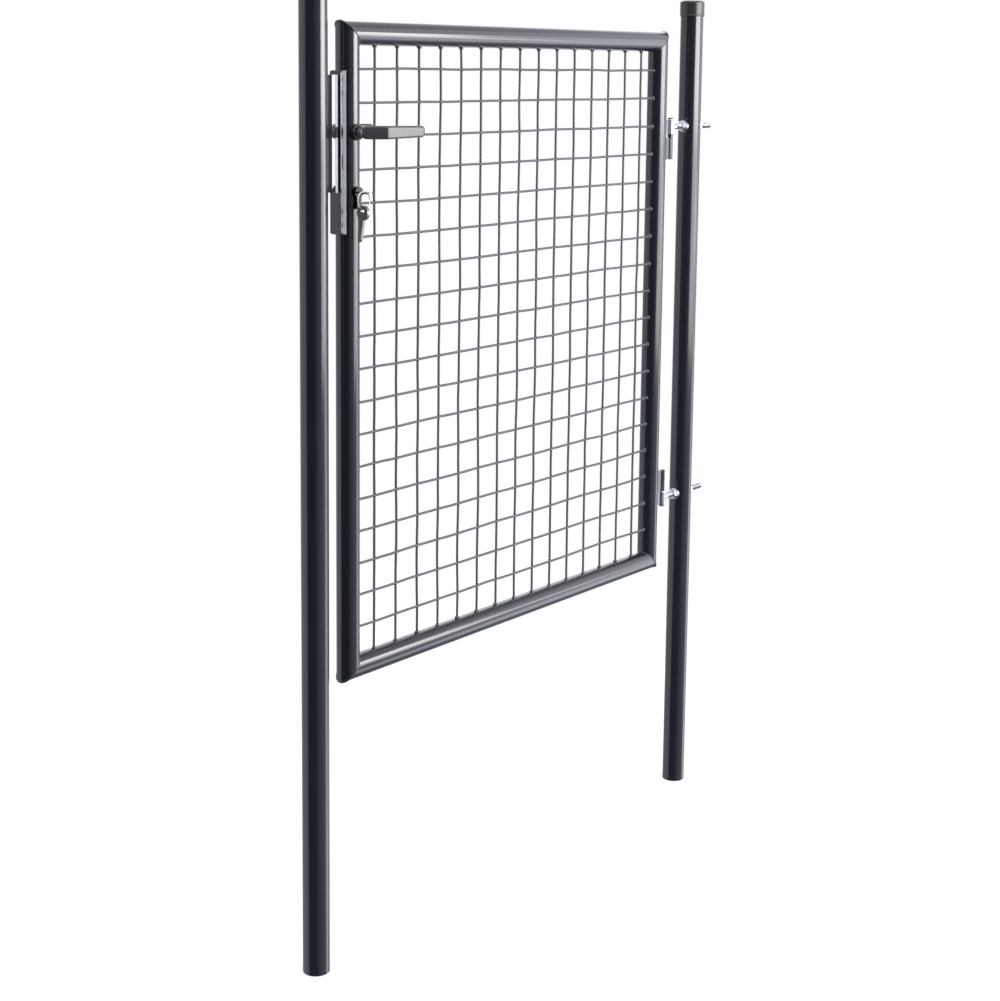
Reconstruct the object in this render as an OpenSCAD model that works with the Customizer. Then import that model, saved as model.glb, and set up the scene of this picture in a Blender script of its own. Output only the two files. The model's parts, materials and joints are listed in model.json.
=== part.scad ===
// Single-leaf garden gate: a welded tube frame filled with square wire mesh, hung on
// two eye-bolts between two round posts, with a mortice lock and its keys.
// Millimetres, +Z up. The origin is the centre of the hinge post's foot. The leaf
// reaches from there towards -X, and swings open towards -Y.

/* [Posts] */
// Outer diameter of both posts
post_d = 42; // [36:1:50]
// Wall of the post tube
post_wall = 1.5; // [1.2:0.1:2.5]
// How far the posts reach above the leaf
post_rise = 54; // [30:1:150]
// Wall of a post cap
cap_wall = 2; // [1.5:0.1:2.5]
// How far a cap's skirt reaches down its post
cap_skirt = 24; // [18:1:40]

/* [Leaf] */
// Overall width of the leaf
leaf_w = 847; // [600:1:1200]
// Overall height of the leaf
leaf_h = 1000; // [800:1:1800]
// Height of the leaf's lower edge above the post feet
leaf_lift = 446; // [150:1:600]
// Outer diameter of the frame tube
tube_d = 36; // [34:0.5:38]
// Wall of the frame tube
tube_wall = 1.5; // [1.2:0.1:1.8]
// Gap between the hinge stile and the hinge post
hinge_gap = 71; // [66:1:76]
// Gap between the latch stile and the latch post
latch_gap = 32; // [31:0.5:33]

/* [Mesh] */
// Diameter of a mesh wire
wire_d = 4; // [3:0.1:5]
// Spacing of the wires, both ways
mesh_pitch = 50; // [25:0.5:100]
// From the latch stile's face to the first upright wire
mesh_side = 40.5; // [20:0.5:50]
// From the top rail's face to the first level wire
mesh_top = 33.5; // [20:0.5:45]
// Least room between the last wire and the frame
mesh_edge = 15; // [8:1:30]
// How far the level wires are pressed into the upright ones at each weld
weld_sink = 1; // [0.5:0.1:1.5]

/* [Lock] */
// Length of the lock's faceplate
face_len = 240; // [235:1:250]
// Width of the lock's faceplate
face_w = 22; // [20:0.5:23]
// Thickness of the lock's faceplate
face_t = 2.5; // [2:0.5:3.5]
// From the leaf's top edge down to the faceplate
face_drop = 72; // [60:1:100]
// From the faceplate's top end down to the handle spindle
spindle_drop = 90; // [80:1:95]
// Spacing of the handle spindle and the lock cylinder
lock_spacing = 88; // [85:1:95]
// From the lock cylinder up to the middle of the dead bolt
dead_rise = 44; // [40:1:48]
// Thickness of the lock case
case_w = 14; // [13:0.5:14.5]
// Length of the lock case
case_len = 220; // [215:1:225]
// Sheet of the lock case
case_wall = 1.5; // [1:0.1:1.6]
// Height of the latch bolt
latch_h = 16; // [14:0.5:18]
// How far the latch bolt stands out of the faceplate
latch_out = 13.5; // [13:0.5:14.5]
// How far the handle draws the latch bolt back
latch_travel = 11; // [8:0.5:11]
// Height of the dead bolt
dead_h = 20; // [18:0.5:24]
// Width of both bolts
bolt_w = 8; // [7:0.5:9]
// How far the lock cylinder stands out of the stile
cylinder_proud = 6; // [3:0.5:8]

/* [Handles] */
// From the spindle to the tip of a lever
lever_len = 110; // [100:1:125]
// From the spindle to a lever's knee, along the leaf
knee_x = 28; // [24:1:34]
// Height of a lever at its hub and knee
lever_h = 20; // [18:0.5:23]
// Height of a lever at its tip
lever_tip_h = 17; // [14:0.5:18]
// Thickness of a lever
lever_t = 9; // [7:0.5:10]
// From the leaf's middle plane to the outer face of a lever's grip
lever_out = 57; // [54:1:62]
// Across the square ends of the spindle
spindle_w = 8; // [7:0.5:8.5]
// Diameter of the spindle's round middle
spindle_d = 9; // [8:0.5:9]
// Diameter of the rose between a lever and the stile
rose_d = 24; // [22:0.5:28]
// How far a rose stands out of the stile
rose_out = 6; // [4:0.5:8]

/* [Keep] */
// Sheet of the keep on the latch post
keep_t = 2.5; // [2:0.5:3.5]
// Clearance between the latch stile and the keep
keep_clear = 5.5; // [5:0.5:6.5]
// Rim above the keep's window
keep_top_rim = 6.5; // [5:0.5:12]
// Height of the keep's window
window_h = 172; // [165:1:172]
// Width of the keep's window
window_w = 13.5; // [12.5:0.5:14]
// Rim beside the keep's window, on the side the leaf opens to
keep_side_rim = 6; // [4:0.5:7]
// Clearance between a bolt and that rim
keep_play = 1; // [0.5:0.1:1.5]
// Radius of the keep's outer corners
keep_corner = 4; // [2:0.5:5]

/* [Hinges] */
// From the hinge stile's face to the hinge axis
pin_offset = 28; // [24:0.5:30]
// Diameter of a hinge pin
pin_d = 10; // [8:0.5:12]
// Radial play of a pin in its eye
pin_play = 0.08; // [0.05:0.01:0.1]
// Outer diameter of an eye
eye_d = 16; // [15:0.5:20]
// Height of an eye
eye_h = 28; // [20:1:30]
// Diameter of an eye-bolt's shank
bolt_d = 10; // [8:0.5:12]
// How far an eye-bolt runs on behind the hinge post
bolt_tail = 48; // [30:1:55]
// Play between the shank and its holes in the post
bolt_play = 0.4; // [0.2:0.1:0.8]
// Across the flats of a nut
nut_af = 17; // [15:1:21]
// Thickness of a nut
nut_t = 8; // [6:0.5:10]
// Thickness of the shaped washer between a nut and the post
washer_t = 2.5; // [2:0.5:4]
// From the leaf's top edge down to the middle of the upper eye
upper_eye_drop = 171.5; // [150:0.5:200]
// From the leaf's bottom edge up to the middle of the lower eye
lower_eye_rise = 129; // [110:1:160]
// Length of the welded part of a hinge pin
pin_root = 40; // [32:1:50]
// Gap between the upper eye and the pin's welded part
upper_slack = 6; // [5:0.5:10]
// Thickness of the plate that carries a hinge pin
hinge_plate_t = 5; // [4:0.5:8]

/* [Keys] */
// Diameter of a key's bow
bow_d = 22; // [20:0.5:23]
// Thickness of a key
key_t = 2.4; // [2:0.1:2.6]
// Hole in a key's bow
bow_hole = 7; // [6.5:0.5:7.5]
// From a bow's middle to its hole
bow_shift = 3; // [2:0.5:4]
// Length of a key's blade
blade_len = 33; // [28:0.5:34]
// Height of a key's blade
blade_h = 8; // [7.5:0.5:8.5]
// Outer diameter of the key ring
ring_d = 28; // [26:0.1:30]
// Wire of the key ring
ring_wire = 1.8; // [1.5:0.1:2]
// How far the spare keys lean towards the leaf
key_lean = 10; // [0:1:10]

/* [Hidden] */
$fn = 64;

// Paint, metal and plastic colours
paint = "#3a4048";
zinc = "#c9ccd0";
black = "#1d1e20";
nickel = "#b9b6a8";

// A cutter runs this much past the faces it opens
over = 1;
// Room left in all between a sliding piece and its slot
slide_gap = 0.5;
// Radial play of a lock plug in its cylinder
plug_play = 0.1;

// Places along X
hinge_stile_x = -(post_d/2 + hinge_gap + tube_d/2);
latch_stile_x = hinge_stile_x - (leaf_w - tube_d);
latch_post_x = latch_stile_x - (tube_d/2 + latch_gap + post_d/2);
pin_x = hinge_stile_x + tube_d/2 + pin_offset;

// Heights
leaf_top = leaf_lift + leaf_h;
post_len = leaf_top + post_rise;
face_top = leaf_top - face_drop;
spindle_z = face_top - spindle_drop;
cylinder_z = spindle_z - lock_spacing;
dead_z = cylinder_z + dead_rise;
upper_eye_z = leaf_top - upper_eye_drop;
lower_eye_z = leaf_lift + lower_eye_rise;

// The faceplate lies in a flat milled into the latch stile
face_x = sqrt(pow(tube_d/2, 2) - pow(face_w/2, 2)) - 0.1;

module tube(d, wall, length) {
    difference() {
        cylinder(d = d, h = length);
        translate([0, 0, -over]) cylinder(d = d - 2*wall, h = length + 2*over);
    }
}

// A frame tube along Z, mitred at both ends, with its shorter side towards +X
module mitred_tube(length) {
    r = tube_d/2 + over;
    intersection() {
        tube(tube_d, tube_wall, length);
        rotate([90, 0, 0]) linear_extrude(2*r, center = true)
            polygon([[-r, -over], [-r, length + over], [r, length - tube_d - over], [r, tube_d + over]]);
    }
}

module cap() {
    outer_r = post_d/2 + cap_wall;
    difference() {
        rotate_extrude() polygon([
            [0, -cap_skirt], [outer_r, -cap_skirt], [outer_r, cap_wall], [outer_r - 2, cap_wall + 2],
            [outer_r/2, cap_wall + 3.2], [0, cap_wall + 3.5]]);
        translate([0, 0, -cap_skirt - over]) cylinder(d = post_d, h = cap_skirt + over);
    }
}

// The cylinder that a bolt needs, along X
module along_x(d, from, to) {
    translate([from, 0, 0]) rotate([0, 90, 0]) cylinder(d = d, h = to - from);
}

module hinge_post() {
    color(paint) difference() {
        tube(post_d, post_wall, post_len);
        for (z = [upper_eye_z, lower_eye_z])
            translate([0, 0, z]) along_x(bolt_d + 2*bolt_play, -post_d, post_d);
    }
}

module latch_post() {
    color(paint) translate([latch_post_x, 0, 0]) tube(post_d, post_wall, post_len);
}

module hinge_post_cap() {
    color(black) translate([0, 0, post_len]) cap();
}

module latch_post_cap() {
    color(black) translate([latch_post_x, 0, post_len]) cap();
}

module eye_bolt(z) {
    color(zinc) translate([0, 0, z]) difference() {
        union() {
            translate([pin_x, 0, -eye_h/2]) cylinder(d = eye_d, h = eye_h);
            along_x(bolt_d, pin_x, post_d/2 + bolt_tail);
        }
        translate([pin_x, 0, -eye_h/2 - over]) cylinder(r = pin_d/2 + pin_play, h = eye_h + 2*over);
    }
}

module upper_eye_bolt() { eye_bolt(upper_eye_z); }
module lower_eye_bolt() { eye_bolt(lower_eye_z); }

// side is -1 towards the leaf, 1 behind the post
module nut(z, side) {
    start = post_d/2 + washer_t;
    color(zinc) translate([0, 0, z]) scale([side, 1, 1]) difference() {
        translate([start, 0, 0]) rotate([0, 90, 0])
            cylinder(d = nut_af/cos(30), h = nut_t, $fn = 6);
        along_x(bolt_d, start - over, start + nut_t + over);
    }
}

module upper_inner_nut() { nut(upper_eye_z, -1); }
module upper_outer_nut() { nut(upper_eye_z, 1); }
module lower_inner_nut() { nut(lower_eye_z, -1); }
module lower_outer_nut() { nut(lower_eye_z, 1); }

module washer(z, side) {
    reach = post_d/2 + washer_t;
    color(zinc) translate([0, 0, z]) scale([side, 1, 1]) difference() {
        along_x(nut_af + 4, 0, reach);
        cylinder(d = post_d, h = 2*nut_af, center = true);
        along_x(bolt_d + 2*bolt_play, -over, reach + over);
    }
}

module upper_inner_washer() { washer(upper_eye_z, -1); }
module upper_outer_washer() { washer(upper_eye_z, 1); }
module lower_inner_washer() { washer(lower_eye_z, -1); }
module lower_outer_washer() { washer(lower_eye_z, 1); }

// Plate with rounded corners, from the origin
module rounded_plate(w, h, r) {
    translate([r, 0]) square([w - 2*r, h]);
    translate([0, r]) square([w, h - 2*r]);
    for (x = [r, w - r], y = [r, h - r]) translate([x, y]) circle(r = r);
}

// Bent sheet: a web that faces the leaf, with a window for both bolts, and the
// window's flap folded back and welded to the post
module latch_keep() {
    back = latch_stile_x - tube_d/2 - keep_clear - keep_t;
    window_y = -bolt_w/2 - keep_play;
    flap_y = window_y + window_w;
    near_y = window_y - keep_side_rim;
    window_z = face_top - keep_top_rim - window_h;
    color(paint) difference() {
        union() {
            translate([back, near_y, face_top - face_len]) rotate([90, 0, 90])
                linear_extrude(keep_t) rounded_plate(flap_y + keep_t - near_y, face_len, keep_corner);
            translate([latch_post_x, flap_y, window_z])
                cube([back + keep_t - latch_post_x, keep_t, window_h]);
        }
        translate([back - over, window_y, window_z]) cube([keep_t + 2*over, window_w, window_h]);
        translate([latch_post_x, 0, 0]) cylinder(d = post_d, h = post_len);
    }
}

module latch_stile() {
    color(paint) translate([latch_stile_x, 0, 0]) difference() {
        translate([0, 0, leaf_lift]) mitred_tube(leaf_h);
        translate([-tube_d, -face_w/2, face_top - face_len])
            cube([tube_d - face_x + face_t, face_w, face_len]);
        translate([0, 0, spindle_z]) rotate([90, 0, 0])
            cylinder(d = spindle_hole, h = 2*tube_d, center = true);
        translate([0, 0, cylinder_z]) rotate([90, 0, 0])
            linear_extrude(2*tube_d, center = true) cylinder_profile(slide_gap/2);
    }
}

module hinge_stile() {
    color(paint) translate([hinge_stile_x, 0, leaf_lift]) mirror([1, 0, 0]) mitred_tube(leaf_h);
}

module top_rail() {
    color(paint) translate([latch_stile_x - tube_d/2, 0, leaf_top - tube_d/2])
        rotate([0, 90, 0]) mitred_tube(leaf_w);
}

module bottom_rail() {
    color(paint) translate([latch_stile_x - tube_d/2, 0, leaf_lift + tube_d/2])
        mirror([0, 0, 1]) rotate([0, 90, 0]) mitred_tube(leaf_w);
}

// Eight-sided wires, the level ones pressed into the near side of the upright ones,
// all of them cut to meet the frame tubes
module mesh_panel() {
    inner_h = leaf_h - 2*tube_d;
    inner_w = leaf_w - 2*tube_d;
    first_x = latch_stile_x + tube_d/2 + mesh_side;
    first_z = leaf_top - tube_d - mesh_top;
    upright_wires = floor((inner_w - mesh_side - mesh_edge)/mesh_pitch) + 1;
    level_wires = floor((inner_h - mesh_top - mesh_edge)/mesh_pitch) + 1;
    level_y = -(wire_d - weld_sink);
    color(paint) difference() {
        union() {
            for (i = [0 : upright_wires - 1])
                translate([first_x + i*mesh_pitch, 0, leaf_lift + tube_d/2])
                    rotate(22.5) cylinder(d = wire_d, h = inner_h + tube_d, $fn = 8);
            for (i = [0 : level_wires - 1])
                translate([latch_stile_x, level_y, first_z - i*mesh_pitch]) rotate([0, 90, 0])
                    rotate(22.5) cylinder(d = wire_d, h = inner_w + tube_d, $fn = 8);
        }
        for (x = [latch_stile_x, hinge_stile_x])
            translate([x, 0, leaf_lift]) cylinder(d = tube_d, h = leaf_h);
        for (z = [leaf_lift + tube_d/2, leaf_top - tube_d/2])
            translate([0, 0, z]) along_x(tube_d, latch_stile_x, hinge_stile_x);
    }
}

// A pin's welded part starts here and runs up to pin_root higher
upper_pin_z = upper_eye_z - eye_h/2 - upper_slack - pin_root;
lower_pin_z = lower_eye_z + eye_h/2 + slide_gap;

module hinge_plate(z) {
    color(paint) difference() {
        translate([hinge_stile_x, -hinge_plate_t/2, z])
            cube([pin_x - hinge_stile_x, hinge_plate_t, pin_root]);
        translate([hinge_stile_x, 0, z - over]) cylinder(d = tube_d, h = pin_root + 2*over);
        translate([pin_x, 0, z - over]) cylinder(d = pin_d, h = pin_root + 2*over);
    }
}

module upper_hinge_plate() { hinge_plate(upper_pin_z); }
module lower_hinge_plate() { hinge_plate(lower_pin_z); }

// The upper pin points up through its eye, and the lower one down through its own
module upper_hinge_pin() {
    color(paint) translate([pin_x, 0, upper_pin_z])
        cylinder(d = pin_d, h = pin_root + upper_slack + eye_h + pin_d/4);
}

module lower_hinge_pin() {
    below = slide_gap + eye_h + pin_d/4;
    color(paint) translate([pin_x, 0, lower_pin_z - below])
        cylinder(d = pin_d, h = pin_root + below);
}

// Hole in stile, rose and lock case that the spindle turns in
spindle_hole = spindle_w*sqrt(2) + 2;

// A round with a tongue below it, as on any profile cylinder
profile_d = 17;
profile_w = 10;
profile_h = 33;
module cylinder_profile(gap) {
    circle(d = profile_d + 2*gap);
    translate([-profile_w/2 - gap, profile_d/2 - profile_h - gap])
        square([profile_w + 2*gap, profile_h - profile_d/2 + gap]);
}

// Case behind the faceplate, open towards it, with holes for spindle and cylinder
case_back = sqrt(pow(tube_d/2 - tube_wall, 2) - pow(case_w/2, 2)) - slide_gap;
module lock_case() {
    front = face_x - face_t;
    case_z = face_top - (face_len + case_len)/2;
    color(zinc) translate([latch_stile_x, 0, 0]) difference() {
        translate([-front, -case_w/2, case_z]) cube([front + case_back, case_w, case_len]);
        translate([-front - over, -case_w/2 + case_wall, case_z + case_wall])
            cube([front + over + case_back - case_wall, case_w - 2*case_wall, case_len - 2*case_wall]);
        translate([0, 0, spindle_z]) rotate([90, 0, 0])
            cylinder(d = spindle_hole, h = 2*case_w, center = true);
        translate([0, 0, cylinder_z]) rotate([90, 0, 0])
            linear_extrude(2*case_w, center = true) cylinder_profile(slide_gap/2);
    }
}

module lock_faceplate() {
    slot_w = bolt_w + slide_gap;
    color(zinc) translate([latch_stile_x - face_x, 0, 0]) difference() {
        translate([0, -face_w/2, face_top - face_len]) cube([face_t, face_w, face_len]);
        for (bolt = [[spindle_z, latch_h], [dead_z, dead_h]])
            translate([-over, -slot_w/2, bolt[0] - (bolt[1] + slide_gap)/2])
                cube([face_t + 2*over, slot_w, bolt[1] + slide_gap]);
    }
}

// The head is sloped on the closing side, and the tail is a fork around the spindle
module latch_bolt() {
    fork_h = 1.5*latch_h;
    fork_front = slide_gap - (face_x - face_t);
    fork_back = case_back - case_wall - latch_travel - slide_gap;
    notch_h = spindle_d + 2*slide_gap;
    notch_front = -latch_travel - notch_h/2;
    tip = -face_x - latch_out;
    color(zinc) translate([latch_stile_x, 0, spindle_z]) difference() {
        union() {
            linear_extrude(latch_h, center = true) polygon([
                [tip, -bolt_w/2], [tip, bolt_w/2 - 5], [tip + latch_out - 4, bolt_w/2],
                [fork_back, bolt_w/2], [fork_back, -bolt_w/2]]);
            translate([fork_front, -bolt_w/2, -fork_h/2])
                cube([fork_back - fork_front, bolt_w, fork_h]);
        }
        translate([notch_front, -bolt_w, -notch_h/2])
            cube([fork_back - notch_front + over, 2*bolt_w, notch_h]);
    }
}

module dead_bolt() {
    tail = case_back - case_wall - 2*slide_gap;
    color(zinc) translate([latch_stile_x - face_x, -bolt_w/2, dead_z - dead_h/2])
        cube([face_x + tail, bolt_w, dead_h]);
}

plug_d = 13;
plug_len = 14;
plug_face = tube_d/2 + cylinder_proud;
module lock_cylinder() {
    color(nickel) translate([latch_stile_x, 0, cylinder_z]) difference() {
        rotate([90, 0, 0]) linear_extrude(2*plug_face, center = true) cylinder_profile(0);
        for (side = [-1, 1]) scale([1, side, 1])
            translate([0, plug_face - plug_len, 0]) rotate([-90, 0, 0])
                cylinder(d = plug_d + 2*plug_play, h = plug_len + over);
    }
}

// Plug of the lock cylinder, with its keyway
module plug(side) {
    color(nickel) translate([latch_stile_x, 0, cylinder_z]) scale([1, side, 1]) difference() {
        translate([0, plug_face - plug_len, 0]) rotate([-90, 0, 0]) cylinder(d = plug_d, h = plug_len);
        translate([-blade_h/2, plug_face - key_seat, -key_t/2]) cube([blade_h, plug_len, key_t]);
    }
}

module cylinder_plug() { plug(-1); }
module rear_plug() { plug(1); }

module rose(side) {
    color(black) translate([latch_stile_x, 0, spindle_z]) scale([1, side, 1]) difference() {
        rotate([-90, 0, 0]) cylinder(d = rose_d, h = tube_d/2 + rose_out);
        cylinder(d = tube_d, h = 2*rose_d, center = true);
        rotate([-90, 0, 0]) cylinder(d = spindle_hole, h = tube_d);
    }
}

module front_rose() { rose(-1); }
module rear_rose() { rose(1); }

// Flat bar between two points in plan
module bar(p, q, w) {
    run = q - p;
    translate(p) rotate(atan2(run[1], run[0])) translate([0, -w/2]) square([norm(run), w]);
}

function arc(c, r, from, to, steps = 8) =
    [for (i = [0 : steps]) c + r*[cos(from + (to - from)*i/steps), sin(from + (to - from)*i/steps)]];

// Levers start this far from the leaf's middle plane
hub_y = tube_d/2 + rose_out + slide_gap;

// A lever seen square on: deepest up to its knee, rounded at its tip
module lever_front() {
    tip_r = lever_tip_h/3;
    half = lever_h/2;
    tip = [lever_len - tip_r, lever_tip_h/2 - tip_r];
    polygon(concat([[-half, -half], [knee_x, -half]], arc([tip[0], -tip[1]], tip_r, -90, 0),
        arc(tip, tip_r, 0, 90), [[knee_x, half], [-half, half]]));
}

// A lever seen from above: out from its hub to the knee, then along the leaf
module lever_plan() {
    grip_y = lever_out - lever_t/2;
    knee = [knee_x, grip_y];
    bar([0, hub_y + lever_t/2], knee, lever_t);
    bar(knee, [lever_len, grip_y], lever_t);
    translate(knee) circle(d = lever_t);
}

module lever(side) {
    color(black) translate([latch_stile_x, 0, spindle_z]) scale([1, side, 1]) difference() {
        union() {
            intersection() {
                linear_extrude(2*lever_h, center = true) lever_plan();
                rotate([90, 0, 0]) linear_extrude(4*lever_out, center = true) lever_front();
            }
            translate([0, hub_y, 0]) rotate([-90, 0, 0]) cylinder(d = lever_h - 2, h = lever_t);
        }
        translate([-spindle_w/2, 0, -spindle_w/2]) cube([spindle_w, hub_y + lever_t/2, spindle_w]);
    }
}

module front_lever() { lever(-1); }
module rear_lever() { lever(1); }

module spindle() {
    half = hub_y + lever_t/2;
    round_half = tube_d/2 - 2;
    color(zinc) translate([latch_stile_x, 0, spindle_z]) {
        rotate([90, 0, 0]) cylinder(d = spindle_d, h = 2*round_half, center = true);
        for (side = [-1, 1]) scale([1, side, 1]) translate([-spindle_w/2, round_half, -spindle_w/2])
            cube([spindle_w, half - round_half, spindle_w]);
    }
}

// How deep a key's blade sits in its plug, and where that puts its bow
key_seat = plug_len - 2;
bow_y = plug_face + 1 + bow_d/2;
hole_y = bow_y + bow_shift;

// A key with its bow's hole at the origin and its blade along +Y, lying flat
module flat_key(blade) {
    translate([0, 0, -key_t/2]) linear_extrude(key_t) difference() {
        union() {
            translate([0, bow_shift]) circle(d = bow_d);
            translate([-blade_h/2, bow_shift]) square([blade_h, bow_d/2 + blade]);
        }
        circle(d = bow_hole);
    }
}

module door_key() {
    color(nickel) translate([latch_stile_x, -hole_y, cylinder_z]) flat_key(key_seat + 1);
}

// The ring hangs over the stretch of bow between the hole and the rim, and the
// spare keys hang side by side at its lowest point
seat_gap = 0.15;
ring_r = (ring_d - ring_wire)/2;
rim_in = bow_hole/2;
rim_out = sqrt(pow(bow_d/2, 2) - pow(bow_shift, 2));
ring_x = latch_stile_x - (rim_in + rim_out)/2;
ring_z = cylinder_z + key_t/2 + seat_gap
    - sqrt(pow(ring_r - ring_wire/2, 2) - pow((rim_out - rim_in)/2, 2));

module key_ring() {
    color(zinc) translate([ring_x, -hole_y, ring_z]) rotate([90, 0, 0])
        rotate_extrude() translate([ring_r, 0]) circle(d = ring_wire, $fn = 16);
}

module spare_key(side) {
    drop = ring_r + bow_hole/2 - ring_wire/2 - seat_gap;
    color(nickel) translate([ring_x + side*(key_t/2 + seat_gap), -hole_y, ring_z - drop])
        rotate([key_lean - 90, 0, 0]) rotate([0, 90, 0]) flat_key(blade_len);
}

module spare_key_1() { spare_key(-1); }
module spare_key_2() { spare_key(1); }

hinge_post();
latch_post();
hinge_post_cap();
latch_post_cap();
upper_eye_bolt();
lower_eye_bolt();
upper_inner_nut();
upper_outer_nut();
lower_inner_nut();
lower_outer_nut();
upper_inner_washer();
upper_outer_washer();
lower_inner_washer();
lower_outer_washer();
latch_keep();
latch_stile();
hinge_stile();
top_rail();
bottom_rail();
mesh_panel();
upper_hinge_plate();
lower_hinge_plate();
upper_hinge_pin();
lower_hinge_pin();
lock_case();
lock_faceplate();
lock_cylinder();
front_rose();
rear_rose();
front_lever();
rear_lever();
spindle();
latch_bolt();
dead_bolt();
cylinder_plug();
rear_plug();
door_key();
key_ring();
spare_key_1();
spare_key_2();
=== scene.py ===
"""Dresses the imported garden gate: smooth tubes with weld beads, wavy mesh wires with weld
nuggets, threaded eye-bolts, lock, lever handles and keys, with their finishes and a studio."""

import json
import math

import bmesh
import bpy
import numpy as np
from bpy.props import FloatProperty, FloatVectorProperty, IntProperty, PointerProperty, StringProperty
from mathutils import Matrix, Vector
from mathutils.geometry import tessellate_polygon


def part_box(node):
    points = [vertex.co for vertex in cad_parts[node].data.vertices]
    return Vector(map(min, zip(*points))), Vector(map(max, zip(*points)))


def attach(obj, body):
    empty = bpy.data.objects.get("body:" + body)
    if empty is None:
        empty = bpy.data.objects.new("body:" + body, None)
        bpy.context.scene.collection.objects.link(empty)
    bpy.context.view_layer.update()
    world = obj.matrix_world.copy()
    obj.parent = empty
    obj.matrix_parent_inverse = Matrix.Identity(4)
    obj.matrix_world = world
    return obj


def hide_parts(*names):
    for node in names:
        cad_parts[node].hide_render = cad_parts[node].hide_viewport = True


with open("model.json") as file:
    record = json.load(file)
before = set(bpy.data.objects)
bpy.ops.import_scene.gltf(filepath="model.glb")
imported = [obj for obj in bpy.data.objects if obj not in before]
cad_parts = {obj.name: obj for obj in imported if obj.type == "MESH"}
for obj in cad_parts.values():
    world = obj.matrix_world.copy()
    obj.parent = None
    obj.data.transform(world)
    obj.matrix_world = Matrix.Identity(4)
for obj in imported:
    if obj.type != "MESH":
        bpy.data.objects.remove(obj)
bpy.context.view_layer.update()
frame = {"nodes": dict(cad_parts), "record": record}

bl_info = {
    "name": "Mesh garden gate",
    "version": (1, 0, 0),
    "blender": (4, 5, 0),
    "location": "3D View > Sidebar > Gate",
    "description": "Dresses the packed garden gate with finished pieces, materials and a studio",
    "category": "Object",
}

MM = 0.001


# ---------------------------------------------------------------- places read from the frame


def size_of(node):
    lo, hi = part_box(node)
    return hi - lo


def middle_of(node):
    lo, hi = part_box(node)
    return (lo + hi) / 2


POST_D = size_of("latch_post").x
TUBE_D = size_of("latch_stile").x
POST_X = {"hinge": middle_of("hinge_post").x, "latch": middle_of("latch_post").x}
STILE_X = {"hinge": middle_of("hinge_stile").x, "latch": middle_of("latch_stile").x}
LEAF_LO, LEAF_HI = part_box("latch_stile")[0].z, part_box("latch_stile")[1].z
PIN_X = middle_of("upper_hinge_pin").x
SPINDLE_Z = middle_of("spindle").z
CYLINDER_Z = middle_of("cylinder_plug").z


# ---------------------------------------------------------------- sizes and colours to change


def length_setting(name, description, mm):
    """A length to change, written here in millimetres."""
    return FloatProperty(name=name, description=description, default=mm * MM, unit="LENGTH")


def factor_setting(name, description, default):
    return FloatProperty(name=name, description=description, default=default, min=0, max=1, subtype="FACTOR")


def angle_setting(name, description, degrees):
    return FloatProperty(name=name, description=description, default=math.radians(degrees), subtype="ANGLE")


class GatePaintSettings(bpy.types.PropertyGroup):
    """Powder coat on every welded steel part."""

    coat: StringProperty(name="Coat", description="Colour of the powder coat", default="#14161E")
    gloss: factor_setting("Roughness", "Roughness of the cured coat", 0.16)
    # Wire coat: the frame's coat painted lighter, as a painted sheen on the thin wires
    wire_coat_with_painted_sheen: StringProperty(name="Wire coat", description="Colour of the coat on wires", default="#3E4045")
    wire_gloss: factor_setting("Wire roughness", "Roughness of the coat on wires", 0.42)
    peel: length_setting("Orange peel", "Width of the coat's ripples", 2.2)
    wall: length_setting("Tube wall", "Wall of the tubes", 1.5)
    bead: length_setting("Weld bead", "Width of a weld bead", 3.6)


class GateMeshSettings(bpy.types.PropertyGroup):
    """Welded wire mesh."""

    wire: length_setting("Wire", "Diameter of a wire", 4.0)
    pitch: length_setting("Pitch", "Spacing of the wires", 50.0)
    side: length_setting("First upright", "From the latch stile to the first wire", 40.5)
    top: length_setting("First level", "From the top rail to the first wire", 33.5)
    wave: length_setting("Wave", "How far a wire strays", 4.5)
    sides: IntProperty(name="Sides", description="Sides of a wire", default=10, min=6, max=24)


class GateHardwareSettings(bpy.types.PropertyGroup):
    """Hinge bolts, nuts, lock, levers and keys."""

    thread_pitch: length_setting("Thread pitch", "Pitch of the eye-bolt's thread", 1.5)
    thread_depth: length_setting("Thread depth", "Depth of the eye-bolt's thread", 0.9)
    bolt: length_setting("Bolt", "Diameter of an eye-bolt", 10)
    flats: length_setting("Flats", "Width of a nut", 17)
    knee: length_setting("Knee", "From spindle to knee", 28)
    lever_thickness: length_setting("Lever thickness", "Thickness of a lever", 9)
    lever_tip: length_setting("Lever tip", "Height of a lever at its tip", 17)
    bow: length_setting("Bow", "Diameter of a key's bow", 22)
    bow_hole: length_setting("Bow hole", "Hole in the bow", 7)
    bow_shift: length_setting("Bow shift", "From the bow's middle to its hole", 3)
    blade: length_setting("Blade", "Height of a key's blade", 8)
    blade_length: length_setting("Blade length", "Length of a spare key's blade", 33)
    key_thickness: length_setting("Key thickness", "Thickness of a key", 2.4)
    key_lean: FloatProperty(name="Key lean", description="Lean of the spare keys, in degrees", default=10)


class GateStageSettings(bpy.types.PropertyGroup):
    """Camera."""

    lens: FloatProperty(name="Lens", description="Focal length", default=64.62, unit="CAMERA")
    place: FloatVectorProperty(
        name="Camera", description="Place of the camera", default=(-2.8486, -1.8428, 1.3862), subtype="XYZ"
    )
    heading: angle_setting("Heading", "Turn of the view from +X", 38.82)
    tilt: angle_setting("Tilt", "Fall of the view", 8)
    roll: angle_setting("Roll", "Roll of the camera", 0.616)
    lift: FloatProperty(name="Lens shift", description="Upward shift of the lens", default=-0.1843)


# ---------------------------------------------------------------- materials


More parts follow.
